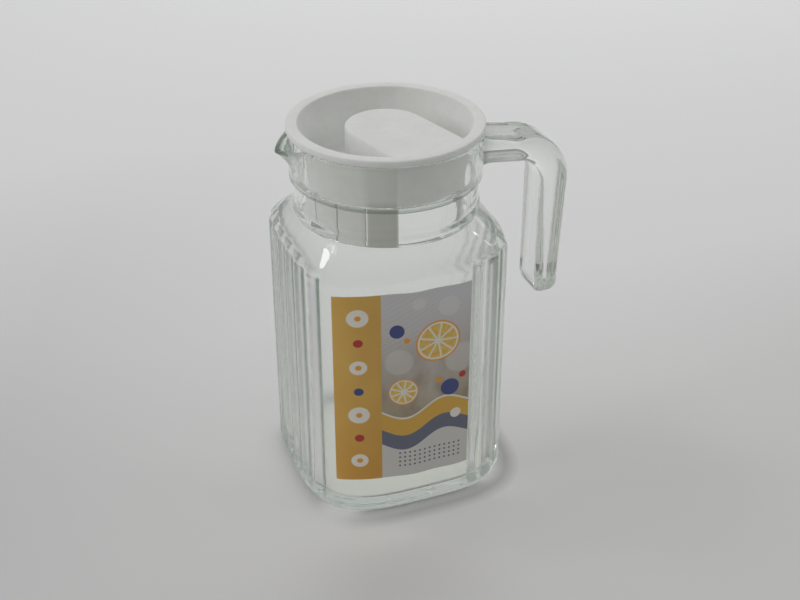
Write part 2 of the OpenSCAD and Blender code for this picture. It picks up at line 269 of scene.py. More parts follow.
def meridians(facets=18, panel_facets=36, step_facets=4):
    """The upright lines that the glass is drawn on, once round from the back edge of the spout end.

    For each: its point on the outline, the outward direction there, how deep it lies in a valley
    between flutes, from 0 on a crest to 1, and how far it is in the fluted part. A flute's depth is
    ((1 + cos(2 pi u)) / 2)^1.3 for u from 0 to 1 across it."""
    narrowness = 1.3
    rows = []

    def fluted(side, start, stop, number, first=1.0, last=1.0):
        """Flutes side by side, whose depth goes evenly from first to last, held to 1."""
        t = np.linspace(start, stop, number * facets, endpoint=False)
        u = (np.arange(number * facets) % facets) / facets
        share = np.clip(np.linspace(first, last, number * facets), 0, 1)
        valley = (0.5 + 0.5 * np.cos(2 * math.pi * u)) ** narrowness
        rows.append((side, t, valley * share, share))

    def plain(side, start, stop, valley_from, valley_to, number):
        """A part without flutes, or a slanting step beside them."""
        t = np.linspace(start, stop, number, endpoint=False)
        valley = np.linspace(valley_from, valley_to, number, endpoint=False)
        rows.append((side, t, valley, valley))

    # Spout end, front, handle end, whose flutes fade towards the back, and back
    fluted(math.pi, -END_EDGE, END_EDGE, END_FLUTES)
    plain(math.pi, END_EDGE, END_EDGE + PANEL_STEP, 1, 0, step_facets)
    plain(math.pi, END_EDGE + PANEL_STEP, CORNER, 0, 0, step_facets)
    plain(-math.pi / 2, -CORNER, PANEL_EDGE - PANEL_STEP, 0, 0, panel_facets)
    plain(-math.pi / 2, PANEL_EDGE - PANEL_STEP, PANEL_EDGE, 0, 1, step_facets)
    fluted(-math.pi / 2, PANEL_EDGE, CORNER, WRAP_FLUTES)
    fluted(0, -CORNER, CORNER, END_FLUTES, 1.25, 0.25)
    fluted(math.pi / 2, -CORNER, -PANEL_EDGE, WRAP_FLUTES, 0.25, 0.0)
    plain(math.pi / 2, -PANEL_EDGE, CORNER, 0, 0, panel_facets)
    plain(math.pi, -CORNER, -END_EDGE - PANEL_STEP, 0, 0, step_facets)
    plain(math.pi, -END_EDGE - PANEL_STEP, -END_EDGE, 0, 1, step_facets)
    placed = [side_points(side, t) for side, t, _, _ in rows]
    return (np.concatenate([p for p, _ in placed]), np.concatenate([n for _, n in placed]),
            np.concatenate([row[2] for row in rows]), np.concatenate([row[3] for row in rows]))


def shoulder_share(s):
    """Share of the way from the neck out to the body, at the share s of the shoulder's height: a
    straight cone mixed with a soft curve, as in the construction."""
    soft = 0.1
    return 1 - (1 - soft) * s - soft * s * s * (3 - 2 * s)


def glass_stations():
    """Rings of the glass, from the middle of the underside up the outside, over the rim and down
    the inside to the middle of the floor.

    Each is (z, body, inset, flute, ledge, radius, spout, size, tint, inner): the height, the share
    of the body's square outline in the ring, how far that outline is drawn in, the shares of the
    flutes' depth and of the ledge over them, the radius of the round part, the share of the spout,
    the share of the whole ring's size, how green the glass looks there, and 1 on the inside of the
    body."""
    rows = []

    def add(z, body=1.0, inset=0.0, flute=0.0, ledge=0.0, radius=0.0, spout=0.0, size=1.0,
            tint=0.0, inner=0.0):
        rows.append((z, body, inset, flute, ledge, radius, spout, size, tint, inner))

    def shoulder_edge(t, low, high, **more):
        """Ring of the rounded edge between wall and shoulder, at t from 0 to 1: its height is a
        quadratic curve from low under the edge to the share high of the shoulder above it."""
        add(FLUTE_TOP - low * (1 - t) ** 2 + high * shoulder_height * t * t,
            body=1 - (1 - shoulder_share(high)) * t * t, **more)

    # Underside, pushed up in the middle, then the foot and the rounded heel
    foot_inside = 0.88
    for size in (0.08, 0.25, 0.45, 0.62, 0.76, 0.84, foot_inside):
        add(PUSHED_UP * (1 - (size / foot_inside) ** 2) ** 0.8, inset=HEEL_IN, size=size)
    for size in (0.93, 0.97):
        add(0, inset=HEEL_IN, size=size)
    for a in np.linspace(0, math.pi / 2, 9):
        add(FOOT_HEIGHT + (HEEL_HEIGHT - FOOT_HEIGHT) * (1 - math.cos(a)),
            inset=HEEL_IN * (1 - math.sin(a)), tint=HEEL_GREEN * (a < 0.3))
    # Body, where the flutes fade in and end under a ledge
    for z, share in ((0.4, 0.1), (1.0, 0.5), (1.7, 0.9), (2.4, 1), (8, 1)):
        add(HEEL_HEIGHT + z * MM, flute=share)
    for share in (0.1, 0.3, 0.5, 0.7, 0.85, 0.95):
        add(BASE_TOP + (FLUTE_TOP - BASE_TOP) * share, flute=1)
    shoulder_height = neck_low.z - FLUTE_TOP
    for t, flute, ledge in (
            (0.05, 1, 0), (0.2, 0.98, 0.1), (0.3, 0.9, 0.3), (0.4, 0.65, 0.5), (0.5, 0.35, 0.5),
            (0.6, 0.12, 0.4), (0.7, 0.03, 0.3), (0.82, 0, 0.15), (0.95, 0, 0.05)):
        shoulder_edge(t, 2.5 * MM, 0.2, flute=flute, ledge=ledge, radius=NECK_RADIUS)
    # Shoulder
    for s in np.linspace(0.27, 1, 11):
        add(FLUTE_TOP + s * shoulder_height, body=shoulder_share(s), radius=NECK_RADIUS)
    # Neck with its bead, a bulge of sin^2 that is softer than in the construction
    bead_out = 0.6 * (neck_high.x - NECK_RADIUS)
    for s in np.linspace(0.1, 1, 10):
        bulge = bead_out * math.sin(math.pi * s) ** 2
        add(neck_low.z + BEAD_HEIGHT * s, body=0, radius=NECK_RADIUS + bulge)
    for z, r in fillet_path([(neck_low.z + 1.2 * BEAD_HEIGHT, NECK_RADIUS, 0),
                             (collar_low.z, NECK_RADIUS, 0.9 * MM),
                             (collar_low.z + 0.3 * MM, COLLAR_RADIUS, 0.95 * MM),
                             (LEDGE_TOP, COLLAR_RADIUS, 0)]):
        add(z, body=0, radius=r, tint=COLLAR_FOOT_GREEN * (r > NECK_RADIUS + 0.1 * MM))
    # Collar, whose spout flares towards the rim, then over the rim, which stays just clear of the
    # lid's flange, and down inside
    collar_inside = COLLAR_RADIUS - COLLAR_WALL
    rim_round = COLLAR_WALL / 2
    rim = RIM - 0.15 * MM
    collar_side = rim - rim_round - LEDGE_TOP
    for s in np.linspace(0.08, 1, 16):
        add(LEDGE_TOP + collar_side * s, body=0, radius=COLLAR_RADIUS, spout=s ** SPOUT_FLARE)
    for a in np.linspace(0, math.pi, 11)[1:-1]:
        add(rim - rim_round + rim_round * math.sin(a), body=0, spout=1,
            radius=COLLAR_RADIUS - rim_round * (1 - math.cos(a)))
    for s in np.linspace(1, 0.08, 16):
        add(LEDGE_TOP + collar_side * s, body=0, radius=collar_inside, spout=s ** SPOUT_FLARE)
    for z, r in fillet_path([(LEDGE_TOP + 0.7 * MM, collar_inside, 0),
                             (LEDGE_TOP, collar_inside, 0.6 * MM),
                             (LEDGE_TOP, NECK_INSIDE, 1.2 * MM),
                             (neck_low.z, NECK_INSIDE, 0)]):
        add(z, body=0, radius=r)
    for s in np.linspace(1, 0.5, 7)[1:]:
        add(FLUTE_TOP + s * shoulder_height, body=shoulder_share(s), inset=WALL,
            radius=NECK_INSIDE, inner=1)
    for t in np.linspace(0.9, 0, 10):
        shoulder_edge(t, 7 * MM, 0.5, inset=WALL, radius=NECK_INSIDE, inner=1)
    # Inner wall, the rounded foot of it and the floor, which rises a little towards its middle
    wall_foot, floor_rise = INNER_FLOOR + INNER_ROUND, 0.8 * MM
    for share in (0.75, 0.5, 0.25):
        add(wall_foot + (FLUTE_TOP - wall_foot) * share, inset=WALL, inner=1)
    for a in np.linspace(0, math.pi / 2, 8):
        add(wall_foot - INNER_ROUND * math.sin(a), inset=WALL + INNER_ROUND * (1 - math.cos(a)),
            tint=FLOOR_EDGE_GREEN * (0.6 < a < 1.2))
    for size in (0.85, 0.65, 0.45, 0.25, 0.08):
        add(INNER_FLOOR + floor_rise * (1 - size ** 2), inset=WALL + INNER_ROUND, size=size)
    return np.array(rows)


def make_jug_glass():
    """The jug's glass without its handle. A ring's point is size * (body * (outline - depth *
    normal) + (1 - body) * radius * direction), and the spout moves the points near its middle
    outwards and a little down. The depth adds up the inset, the flutes and the ledge."""
    outline, normal, valley, fluted = meridians()
    direction = outline / np.linalg.norm(outline, axis=-1, keepdims=True)
    angle = np.abs(np.arctan2(direction[:, 1], -direction[:, 0]))
    edge = math.hypot(SPOUT_HALF_ANGLE, SPOUT_BLUNT) - SPOUT_BLUNT
    spout_share = np.clip(1 - (np.hypot(angle, SPOUT_BLUNT) - SPOUT_BLUNT) / edge, 0, 1)
    spout_out = -spout_low.x - COLLAR_RADIUS

    columns = (column[:, None] for column in glass_stations().T)
    z, body, inset, flute, ledge, radius, spout, size, tint, inner = columns
    depth = inset + flute * FLUTE_DEPTH * valley + ledge * LEDGE_DEPTH * fluted
    square = outline[None] - depth[..., None] * normal[None]
    round_part = (radius + spout * spout_out * spout_share)[..., None] * direction[None]
    flat = size[..., None] * (body[..., None] * square + (1 - body[..., None]) * round_part)
    rim_share = np.clip((z - LEDGE_TOP) / (RIM - LEDGE_TOP), 0, 1)
    height = z - SPOUT_DIP * spout_share * rim_share * (spout > 0)
    jug = closed_skin("jug_glass", np.concatenate([flat, height[..., None]], -1))
    # Greenness: painted shade at the bottom of the flutes' valleys, more towards their tops and
    # half of that in those beside the panels on the handle's side, and the green of the top 3 mm of
    # the spout
    valley_shade = flute * np.clip((valley - 0.66) / 0.22, 0, 1)
    valley_shade = valley_shade * (0.45 + 0.55 * np.clip(z / FLUTE_TOP, 0, 1))
    beside_panel = (direction[:, 0] > 0.3) & (direction[:, 0] < 0.66)
    valley_shade = valley_shade * np.where(beside_panel, 0.5, 1.0)
    near_rim = np.clip((z - RIM + 3 * MM) / (2 * MM), 0, 1)
    spout_edge = SPOUT_GREEN * spout_share * near_rim * (spout > 0)
    note(jug, "green", np.maximum(np.maximum(valley_shade, spout_edge), tint + 0 * height))
    note(jug, "inner", inner + 0 * height)
    return jug


def make_handle_glass():
    """The handle: a flat sided section with round corners, carried along the arm, round the bend,
    down the leg and closed in a rounded end. It starts inside the collar's wall with a small flare.

    The section's points are out = +-(thick - corner) + corner * sin(a) and across = +-(width -
    corner) + corner * cos(a), and turn says how far its out way has turned from upwards to the
    right."""
    arm_z = HANDLE_TOP - HANDLE_THICK / 2
    bend_x, bend_z = HANDLE_INSIDE - BEND_INSIDE, HANDLE_TOP - HANDLE_THICK - BEND_INSIDE
    half_tip = HANDLE_TIP_THICK / 2
    leg_end = handle_low.z + END_ROUND
    start = COLLAR_RADIUS - COLLAR_WALL * 0.6
    rows = []
    # Arm
    for s in np.linspace(0, 1, 12) ** 1.5:
        x = start + (bend_x - start) * s
        flare = 1.3 * MM * max(0, 1 - (x - start) / (6 * MM)) ** 2
        thick = (HANDLE_ROOT_THICK + (HANDLE_THICK - HANDLE_ROOT_THICK) * s) / 2
        rows.append((x, arm_z + ARM_FALL * (1 - s), 0, thick + flare, HANDLE_HALF_WIDTH + flare))
    # Bend
    for s in np.linspace(0, 1, 25)[1:]:
        turn = s * math.pi / 2
        thick = (HANDLE_THICK + (HANDLE_LEG_THICK - HANDLE_THICK) * s) / 2
        bend = BEND_INSIDE + thick
        rows.append((bend_x + bend * math.sin(turn), bend_z + bend * math.cos(turn), turn, thick,
                     HANDLE_HALF_WIDTH))
    # Leg and its rounded end
    for s in np.linspace(0, 1, 10)[1:]:
        thick = (HANDLE_LEG_THICK + (HANDLE_TIP_THICK - HANDLE_LEG_THICK) * s) / 2
        rows.append((HANDLE_INSIDE + thick, bend_z + (leg_end - bend_z) * s, math.pi / 2, thick,
                     HANDLE_HALF_WIDTH))
    for a in np.linspace(0, math.pi / 2, 13)[1:-1]:
        rows.append((HANDLE_INSIDE + half_tip, leg_end - END_ROUND * math.sin(a), math.pi / 2,
                     half_tip * math.cos(a), HANDLE_HALF_WIDTH * math.cos(a)))
    x, z, turn, thick, width = (column[:, None] for column in np.array(rows).T)

    def by_corner(*values):
        """A value for each corner: outer back, outer front, inner front and inner back."""
        return np.repeat(values, CORNER_POINTS)[None]

    corner = HANDLE_CORNER * np.minimum(1, width / HANDLE_HALF_WIDTH)
    quarter = math.pi / 2
    a = np.linspace(0, quarter, CORNER_POINTS)
    a = np.concatenate([a + k * quarter for k in range(4)])[None]
    out = by_corner(1, 1, -1, -1) * (thick - corner) + corner * np.sin(a)
    across = by_corner(1, -1, -1, 1) * (width - corner) + corner * np.cos(a)
    rings = np.stack([x + out * np.sin(turn), across, z + out * np.cos(turn)], -1)
    handle = closed_skin("handle_glass", rings, smooth_angle=50)

    # Greenness: green in the thick tip, and painted shade on the outer front corner and under the
    # arm, most where it starts
    tip = np.clip((leg_end - 1.5 * MM - z) / (5 * MM), 0, 1) * (x > HANDLE_INSIDE)
    outer_front_shade = HANDLE_CORNER_SHADE * by_corner(0, 1, 0, 0)
    root = np.clip((start + 14 * MM - x) / (12 * MM), 0, 1)
    # Painted shade under the arm, darkest where it starts
    under = (out < -0.4 * thick) * (0.15 * np.clip(1 - turn / 0.8, 0, 1) + 0.5 * root)
    note(handle, "green", np.maximum(np.maximum(HANDLE_TIP_GREEN * tip, outer_front_shade), under))
    note(handle, "inner", 0 * z + 0 * out)
    return handle


def grip_outline(inset, reach, around=33):
    """Outline of the grip from above, drawn in by inset: half a circle and two straight sides."""
    radius = GRIP_RADIUS - inset
    a = np.linspace(math.pi / 2, 3 * math.pi / 2, around)
    arc = np.stack([radius * np.cos(a), radius * np.sin(a)], -1)
    sides = np.array([[reach, -radius], [reach, radius]])
    turn = np.array([[math.cos(GRIP_ANGLE), math.sin(GRIP_ANGLE)],
                     [-math.sin(GRIP_ANGLE), math.cos(GRIP_ANGLE)]])
    return np.vstack([arc, sides]) @ turn


def recess_radius(z):
    """Radius of the recess's conical wall at height z."""
    share = (z - RECESS_FLOOR) / (LID_TOP - RECESS_FLOOR)
    return RECESS_FLOOR_RADIUS + (RECESS_RADIUS - RECESS_FLOOR_RADIUS) * share


def cone(name, low, high, extra):
    """Solid cone that follows the recess's wall, wider by extra."""
    return lathe(name, np.array([[recess_radius(z) + extra, z] for z in (low, high)]))


def make_lid():
    """The lid, one moulding: flange and bowl turned on the lathe, the hollow grip, and the strainer
    whose fingers are left between the slits."""
    flange_bottom = LID_TOP - FLANGE_THICK
    neck_of_plug = recess_radius(flange_bottom) + LID_WALL
    profile = fillet_path([
        (0.3 * MM, PLUG_BOTTOM, 0),
        (PLUG_FOOT, PLUG_BOTTOM, 0),
        (neck_of_plug, flange_bottom, 0),
        (FLANGE_RADIUS, flange_bottom, 0.7 * MM),
        (FLANGE_RADIUS, LID_TOP, 0.8 * MM),
        (RECESS_RADIUS, LID_TOP, 0.6 * MM),
        (RECESS_FLOOR_RADIUS, RECESS_FLOOR, 2.4 * MM),
        (0.3 * MM, RECESS_FLOOR, 0)])
    lid = lathe("lid_moulding", profile)

    # Grip, with a rounded top edge and a small flare at its foot
    top_round = 1.1 * MM
    insets, levels = [-0.9 * MM, -0.3 * MM, 0], [-0.4 * MM, 0.4 * MM, 1.2 * MM]
    levels = [RECESS_FLOOR + z for z in levels]
    for a in np.linspace(0, math.pi / 2, 6):
        insets.append(top_round * (1 - math.cos(a)))
        levels.append(GRIP_TOP - top_round * (1 - math.sin(a)))
    reach, over = 60 * MM, 1 * MM
    grip = prism("grip", [grip_outline(inset, reach) for inset in insets], levels)
    around_grip = cone("grip_cone", RECESS_FLOOR - over, GRIP_TOP + over, LID_WALL / 2)
    combine(grip, around_grip, "INTERSECT")
    combine(lid, grip, "UNION")
    hollow_top = GRIP_TOP - LID_WALL
    hollow = prism("hollow", grip_outline(LID_WALL, reach), [PLUG_BOTTOM - over, hollow_top])
    around_hollow = cone("hollow_cone", PLUG_BOTTOM - 2 * over, hollow_top + over, -0.2 * MM)
    combine(hollow, around_hollow, "INTERSECT")
    combine(lid, hollow, "DIFFERENCE")

    # Strainer: a round band cut by slits and by the window
    bottom = strainer_low.z
    ring_in = PLUG_FOOT - LID_WALL
    edge = 0.25 * MM
    top = PLUG_BOTTOM + LID_WALL / 2
    ring = np.array([[ring_in, bottom + edge], [ring_in + edge, bottom], [PLUG_FOOT - edge, bottom],
                     [PLUG_FOOT, bottom + edge], [PLUG_FOOT, top], [ring_in, top]])
    strainer = lathe("strainer", ring, loop=True)
    cut = [bottom - over, PLUG_BOTTOM - BAND]
    window_end = WINDOW_ANGLE / 2
    a = np.linspace(GRIP_ANGLE - window_end, GRIP_ANGLE + window_end, 25)
    circle = np.stack([np.cos(a), np.sin(a)], -1)
    outline = np.vstack([circle * (PLUG_FOOT + over), circle[::-1] * (ring_in - over)])
    combine(strainer, sector("window", outline, cut), "DIFFERENCE")
    pitch = (2 * math.pi - WINDOW_ANGLE) / FINGERS
    for k in range(1, FINGERS):
        at = GRIP_ANGLE + window_end + k * pitch
        along = np.array([math.cos(at), math.sin(at)])
        across = np.array([-along[1], along[0]])
        near, far = (ring_in - over) * along, (PLUG_FOOT + over) * along
        half = across * SLIT / 2
        slit = np.array([near - half, far - half, far + half, near + half])
        combine(strainer, sector("slit", slit, cut), "DIFFERENCE")
    combine(lid, strainer, "UNION")
    shade(lid, 32)
    return lid


def sector(name, outline, levels):
    """Upright cutting solid under an outline whose far half mirrors its near half, closed by strips
    between matching points."""
    count = len(outline)
    points = [(x, y, z) for z in levels for x, y in outline]
    faces = ring_faces(2, count)
    for j in range(count // 2 - 1):
        strip = [j, j + 1, count - 2 - j, count - 1 - j]
        faces.append(strip[::-1])
        faces.append([count + k for k in strip])
    return add_mesh(name, points, faces)


def make_label():
    """The label: a thin sheet along the front of the body, with its own map, u from left to right
    and v upwards. Its edges are lifted by a bell curve round u = 0.24 and a small sine wave."""
    columns, levels = 60, 40
    gap, thick = 0.06 * MM, 0.16 * MM
    u = np.linspace(0, 1, columns)
    v = np.linspace(0, 1, levels)
    t = LABEL_LEFT + (LABEL_RIGHT - LABEL_LEFT) * u
    bottom, top = label_low.z, label_high.z - 0.5 * MM
    lift = 1.6 * MM * np.exp(-((u - 0.24) / 0.2) ** 2) + 0.2 * MM * np.sin(19 * u)
    height = bottom + (top - bottom) * v[:, None] + lift[None]
    sheets = []
    for out in (gap + thick, gap):
        points, _ = side_points(-math.pi / 2, t, -out + 0 * t)
        flat = np.broadcast_to(points[None], (levels, columns, 2))
        sheets.append(np.concatenate([flat, height[..., None]], -1))
    front, back = sheets[0], sheets[1][:, ::-1]
    rings = np.concatenate([front, back], 1)
    around = 2 * columns
    faces = ring_faces(levels, around)
    for j in range(columns - 1):
        strip = [j, j + 1, around - 2 - j, around - 1 - j]
        last = (levels - 1) * around
        faces.append(strip[::-1])
        faces.append([last + k for k in strip])
    label = add_mesh("paper_label", rings.reshape(-1, 3), faces)
    mesh = label.data
    there_and_back = np.concatenate([u, u[::-1]])[None]
    uv = np.stack(np.broadcast_arrays(there_and_back, v[:, None]), -1).reshape(-1, 2)
    corners = np.empty(len(mesh.loops), int)
    mesh.loops.foreach_get("vertex_index", corners)
    layer = mesh.uv_layers.new(name="print")
    layer.data.foreach_set("uv", uv[corners].ravel())
    # The faces that look forwards are printed, and the others are bare paper
    normals = np.empty(len(mesh.polygons) * 3)
    mesh.polygons.foreach_get("normal", normals)
    bare = normals.reshape(-1, 3)[:, 1] > -0.3
    mesh.polygons.foreach_set("material_index", bare.astype(int))
    return label


class Surface:
    """A material and short ways to add nodes to it. Where a value is asked for, it can be a number
    or the output of another node."""

    def __init__(self, name):
        self.material = bpy.data.materials.new(name)
        self.material.use_nodes = True
        self.tree = self.material.node_tree
        self.shader = self.tree.nodes["Principled BSDF"]
        self.output = self.tree.nodes["Material Output"]

    def node(self, kind, **values):
        """New node of that kind, with those settings."""
        made = self.tree.nodes.new("ShaderNode" + kind)
        for key, value in values.items():
            setattr(made, key, value)
        return made

    def feed(self, socket, value):
        """Links a socket to value, or sets it."""
        if isinstance(value, bpy.types.NodeSocket):
            self.tree.links.new(value, socket)
        else:
            socket.default_value = value

    def give(self, name, value):
        """Links or sets one of the main shader's inputs."""
        self.feed(self.shader.inputs[name], value)

    def maths(self, operation, a, b=0.0):
        """One step of reckoning on a and b."""
        made = self.node("Math", operation=operation)
        self.feed(made.inputs[0], a)
        self.feed(made.inputs[1], b)
        return made.outputs[0]

    def plus(self, a, b):
        """a + b"""
        return self.maths("ADD", a, b)

    def minus(self, a, b):
        """a - b"""
        return self.maths("SUBTRACT", a, b)

    def times(self, a, b):
        """a * b"""
        return self.maths("MULTIPLY", a, b)

    def far(self, x, y):
        """Distance of the place x, y from the middle: the square root of x * x + y * y."""
        return self.maths("SQRT", self.plus(self.times(x, x), self.times(y, y)))

    def between(self, value, low, high, to_low=0.0, to_high=1.0):
        """value from low to high, carried over to a range, and held there past its ends."""
        made = self.node("MapRange")
        for socket, number in zip(made.inputs, (value, low, high, to_low, to_high)):
            self.feed(socket, number)
        return made.outputs[0]

    def falling(self, value, low, high, top=1.0):
        """top where value is up to low, and from there down to 0 where it is high or more."""
        return self.between(value, low, high, top, 0.0)

    def mix(self, share, a, b):
        """Colour a, or b where share is 1. A colour written out has three numbers."""
        made = self.node("Mix", data_type="RGBA")
        for name, value in (("Factor", share), ("A", a), ("B", b)):
            self.feed(made.inputs[name], value + (1,) if isinstance(value, tuple) else value)
        return made.outputs["Result"]

    def noise(self, where, scale, detail=3.0, roughness=0.5):
        """Cloudy noise from 0 to 1, finer with scale."""
        made = self.node("TexNoise")
        inputs = ("Vector", where), ("Scale", scale), ("Detail", detail), ("Roughness", roughness)
        for name, value in inputs:
            self.feed(made.inputs[name], value)
        return made.outputs["Fac"]

    def bump(self, height, distance):
        """Unevenness: height times distance, in metres."""
        made = self.node("Bump")
        self.feed(made.inputs["Height"], height)
        self.feed(made.inputs["Distance"], distance)
        self.give("Normal", made.outputs[0])

    def place(self):
        """The place on the object, in metres."""
        return self.node("TexCoord").outputs["Object"]

    def split(self, where):
        """x, y and z of a place."""
        made = self.node("SeparateXYZ")
        self.feed(made.inputs[0], where)
        return tuple(made.outputs)

    def noted(self, name):
        """The value that note() keeps under that name."""
        return self.node("Attribute", attribute_name=name).outputs["Fac"]


def glass_surface():
    """Clear pressed glass: it bends light, takes a little red and blue out of it over its
    thickness, and has the faint waviness that a mould leaves. Rays from lamps and from matt
    surfaces pass it, so that what stands behind it is lit, but the heel holds most of them back."""
    look = Surface("pressed_glass")
    # The noted green mixes in a dark green: the green of thick glass, and painted shade in the
    # flute valleys and on the handle
    clear_tint, thick_green_and_shade = (0.99, 1.0, 0.985), (0.12, 0.18, 0.13)
    look.give("Base Color", look.mix(look.noted("green"), clear_tint, thick_green_and_shade))
    inner_roughness = 0.16
    look.give("Roughness", look.times(look.noted("inner"), inner_roughness))
    look.give("IOR", 1.51)
    look.give("Transmission Weight", 1.0)
    where = look.place()
    look.bump(look.noise(where, 55.0, 2.0, 0.45), 0.35 * MM)
    absorb = look.node("VolumeAbsorption")
    look.feed(absorb.inputs["Color"], (0.70, 0.86, 0.74, 1))
    look.feed(absorb.inputs["Density"], 2.6)
    look.feed(look.output.inputs["Volume"], absorb.outputs[0])

    # What those rays meet: 1 on the heel, between its foot and its top and outside the underside
    x, y, z = look.split(where)
    out = look.maths("MAXIMUM", look.maths("ABSOLUTE", x), look.maths("ABSOLUTE", y))
    heel = look.times(look.falling(z, 0.5 * MM, 8 * MM), look.between(out, 43 * MM, 46 * MM))
    passing = look.node("BsdfTransparent")
    look.feed(passing.inputs["Color"], look.mix(heel, (0.985, 0.988, 0.98), (0.35, 0.37, 0.35)))
    path = look.node("LightPath").outputs
    surface = look.shader.outputs[0]
    for kind in ("Is Diffuse Ray", "Is Shadow Ray"):
        chosen = look.node("MixShader")
        for socket, value in zip(chosen.inputs, (path[kind], surface, passing.outputs[0])):
            look.feed(socket, value)
        surface = chosen.outputs[0]
    look.feed(look.output.inputs["Surface"], surface)
    return look.material


def lid_surface():
    """White moulded plastic with a soft sheen: fine grain, a slight waviness and faint scuffs."""
    look = Surface("white_moulding")
    where = look.place()
    cloud = look.between(look.noise(where, 70.0, 6.0, 0.7), 0.35, 0.65)
    tone = look.mix(cloud, (0.715, 0.722, 0.70), (0.77, 0.777, 0.757))

    # Part of the plug's outside, beside the window, looks darker where no light comes through it:
    # a sector from start to stop, outside the cone's foot and below the flange, weaker on the bowl
    x, y, z = look.split(where)
    turn = look.maths("ARCTAN2", y, x)
    start, stop, soft = math.radians(-124), math.radians(-103), math.radians(1.5)
    dark = look.times(look.between(turn, start - 2 * soft, start + 2 * soft),
                      look.falling(turn, stop - soft / 2, stop + soft / 2))
    dark = look.times(dark, look.between(look.far(x, y), 34.5 * MM, 35 * MM))
    dark = look.times(dark, look.falling(z, LID_TOP - 4.2 * MM, LID_TOP - 3.6 * MM))
    on_bowl = 0.45
    dark = look.times(dark, look.between(z, PLUG_BOTTOM - MM, PLUG_BOTTOM + MM, 1.0, on_bowl))
    look.give("Base Color", look.mix(dark, tone, (0.56, 0.56, 0.53)))

    scuff = look.noise(where, 240.0, 5.0, 0.7)
    look.give("Roughness", look.between(scuff, 0.35, 0.7, 0.36, 0.52))
    look.give("Subsurface Weight", 0.25)
    look.give("Subsurface Radius", (4 * MM, 4 * MM, 3.5 * MM))
    look.give("Subsurface Scale", 1.0)
    grain = look.plus(look.noise(where, 900.0, 2.0), look.noise(where, 35.0, 2.0))
    look.bump(grain, 0.12 * MM)
    return look.material


